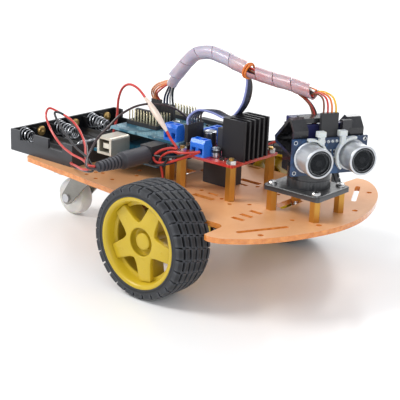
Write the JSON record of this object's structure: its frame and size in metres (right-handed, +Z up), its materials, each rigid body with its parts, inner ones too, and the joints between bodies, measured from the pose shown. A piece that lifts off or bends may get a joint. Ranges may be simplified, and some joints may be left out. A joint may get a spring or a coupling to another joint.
{
  "type": "two wheel robot car",
  "caption": "Two wheel robot car: rounded plate on two geared wheels and a caster, with battery holder, stacked control boards and a pan and tilt distance sensor.",
  "frame": {"origin": "on the ground, under the middle of the drive axle", "axes": "+X forwards to the rounded sensor end, +Y to the car's left, +Z up"},
  "size_m": [0.2458, 0.156, 0.13],
  "materials": {
    "plate_film": "matte",
    "bracket_acrylic": "satin",
    "yellow_plastic": "gloss",
    "tyre_rubber": "matte",
    "steel": "brushed",
    "magnet": "matte",
    "armature": "satin",
    "white_plastic": "satin",
    "brass": "satin",
    "black_plastic": "satin",
    "black_rubber": "matte",
    "red_board": "gloss",
    "heat_sink_black": "anodised",
    "capacitor_can": "satin",
    "blue_terminal": "gloss",
    "blue_board": "gloss",
    "teal_board": "gloss",
    "usb_metal": "satin",
    "button_plastic": "satin",
    "caster_plastic": "satin",
    "servo_blue": "gloss",
    "can_aluminium": "satin",
    "tie_nylon": "satin",
    "wrap_plastic": "satin",
    "jumper_insulation": "satin",
    "signal_insulation": "satin",
    "lead_insulation": "satin"
  },
  "bodies": {
    "chassis": {"chassis_plate": "plate_film", "motor_brackets": "bracket_acrylic", "gearbox_cases": "yellow_plastic", "gearbox_covers": "yellow_plastic", "gear_pins": "steel", "motor_cans": "steel", "machine_screws": "steel", "hex_nuts": "steel", "caster_plate": "steel", "battery_springs": "steel", "motor_magnets": "magnet", "motor_end_caps": "white_plastic", "brass_standoffs": "brass", "battery_studs": "brass", "driver_chip": "black_plastic", "driver_header": "black_plastic", "header_strips": "black_plastic", "dc_jack": "black_plastic", "battery_holder": "black_plastic", "switch_body": "black_plastic", "pan_base_plate": "black_plastic", "dc_plug": "black_rubber", "driver_board": "red_board", "driver_heat_sink": "heat_sink_black", "driver_capacitors": "capacitor_can", "screw_terminals": "blue_terminal", "controller_board": "blue_board", "shield_board": "teal_board", "usb_socket": "usb_metal", "spiral_wrap": "wrap_plastic", "jumper_wires": "jumper_insulation", "sensor_cable": "signal_insulation", "power_leads": "lead_insulation"},
    "right_wheel": {"right_wheel_rim": "yellow_plastic", "right_tyre": "tyre_rubber", "right_output_gear": "white_plastic", "right_encoder_disc": "black_plastic"},
    "right_idler": {"right_idler_gear": "white_plastic"},
    "right_crown": {"right_crown_gear": "white_plastic"},
    "right_rotor": {"right_motor_rotor": "armature"},
    "left_wheel": {"left_wheel_rim": "yellow_plastic", "left_tyre": "tyre_rubber", "left_output_gear": "white_plastic", "left_encoder_disc": "black_plastic"},
    "left_idler": {"left_idler_gear": "white_plastic"},
    "left_crown": {"left_crown_gear": "white_plastic"},
    "left_rotor": {"left_motor_rotor": "armature"},
    "caster_swivel": {"caster_fork": "steel", "caster_axle": "steel"},
    "caster_roller": {"caster_wheel": "caster_plastic"},
    "pan_head": {"pan_yoke": "black_plastic", "pan_servo": "servo_blue", "tilt_servo": "servo_blue"},
    "tilt_head": {"tilt_head": "black_plastic", "sensor_board": "blue_board", "sensor_cans": "can_aluminium", "cable_ties": "tie_nylon", "sensor_plug": "black_plastic"},
    "rocker": {"switch_rocker": "black_plastic"},
    "reset": {"reset_button": "button_plastic"}
  },
  "joints": [
    {"name": "right_wheel_spin", "type": "hinge", "parent": "chassis", "child": "right_wheel", "pos_m": [0, -0.06, 0.0325], "axis": [0, 1, 0], "continuous": true},
    {"name": "right_idler_spin", "type": "hinge", "parent": "chassis", "child": "right_idler", "pos_m": [-0.01, -0.034, 0.0325], "axis": [0, 1, 0], "continuous": true},
    {"name": "right_crown_spin", "type": "hinge", "parent": "chassis", "child": "right_crown", "pos_m": [-0.018, -0.038, 0.0325], "axis": [0, 1, 0], "continuous": true},
    {"name": "right_rotor_spin", "type": "hinge", "parent": "chassis", "child": "right_rotor", "pos_m": [-0.03, -0.0374, 0.0325], "axis": [1, 0, 0], "continuous": true},
    {"name": "left_wheel_spin", "type": "hinge", "parent": "chassis", "child": "left_wheel", "pos_m": [0, 0.06, 0.0325], "axis": [0, 1, 0], "continuous": true},
    {"name": "left_idler_spin", "type": "hinge", "parent": "chassis", "child": "left_idler", "pos_m": [-0.01, 0.034, 0.0325], "axis": [0, 1, 0], "continuous": true},
    {"name": "left_crown_spin", "type": "hinge", "parent": "chassis", "child": "left_crown", "pos_m": [-0.018, 0.038, 0.0325], "axis": [0, 1, 0], "continuous": true},
    {"name": "left_rotor_spin", "type": "hinge", "parent": "chassis", "child": "left_rotor", "pos_m": [-0.03, 0.0374, 0.0325], "axis": [1, 0, 0], "continuous": true},
    {"name": "caster_swivel_turn", "type": "hinge", "parent": "chassis", "child": "caster_swivel", "pos_m": [-0.116, 0, 0.028], "axis": [0, 0, 1], "continuous": true},
    {"name": "caster_roll", "type": "hinge", "parent": "caster_swivel", "child": "caster_roller", "pos_m": [-0.13, 0, 0.0125], "axis": [0, 1, 0], "continuous": true},
    {"name": "pan_turn", "type": "hinge", "parent": "chassis", "child": "pan_head", "pos_m": [0.0555, 0.002, 0.067], "axis": [0, 0, 1], "range_deg": [-62, 118], "deforming": ["sensor_cable"]},
    {"name": "head_tilt", "type": "hinge", "parent": "pan_head", "child": "tilt_head", "pos_m": [0.05868, 0.00032, 0.0931], "axis": [-0.4664, -0.8846, 0], "range_deg": [-10, 30], "deforming": ["sensor_cable"]},
    {"name": "switch_rock", "type": "hinge", "parent": "chassis", "child": "rocker", "pos_m": [-0.0105, 0.0075, 0.046], "axis": [0, -1, 0], "range_deg": [0, 24]},
    {"name": "reset_press", "type": "slide", "parent": "chassis", "child": "reset", "axis": [0, 0, -1], "range_m": [0, 0.0006], "stiffness_N_per_m": 800}
  ],
  "couplings": [
    {"joint": "right_idler_spin", "follows": "right_wheel_spin", "ratio": -4},
    {"joint": "right_crown_spin", "follows": "right_wheel_spin", "ratio": 12},
    {"joint": "right_rotor_spin", "follows": "right_wheel_spin", "ratio": -48},
    {"joint": "left_idler_spin", "follows": "left_wheel_spin", "ratio": -4},
    {"joint": "left_crown_spin", "follows": "left_wheel_spin", "ratio": 12},
    {"joint": "left_rotor_spin", "follows": "left_wheel_spin", "ratio": 48}
  ]
}
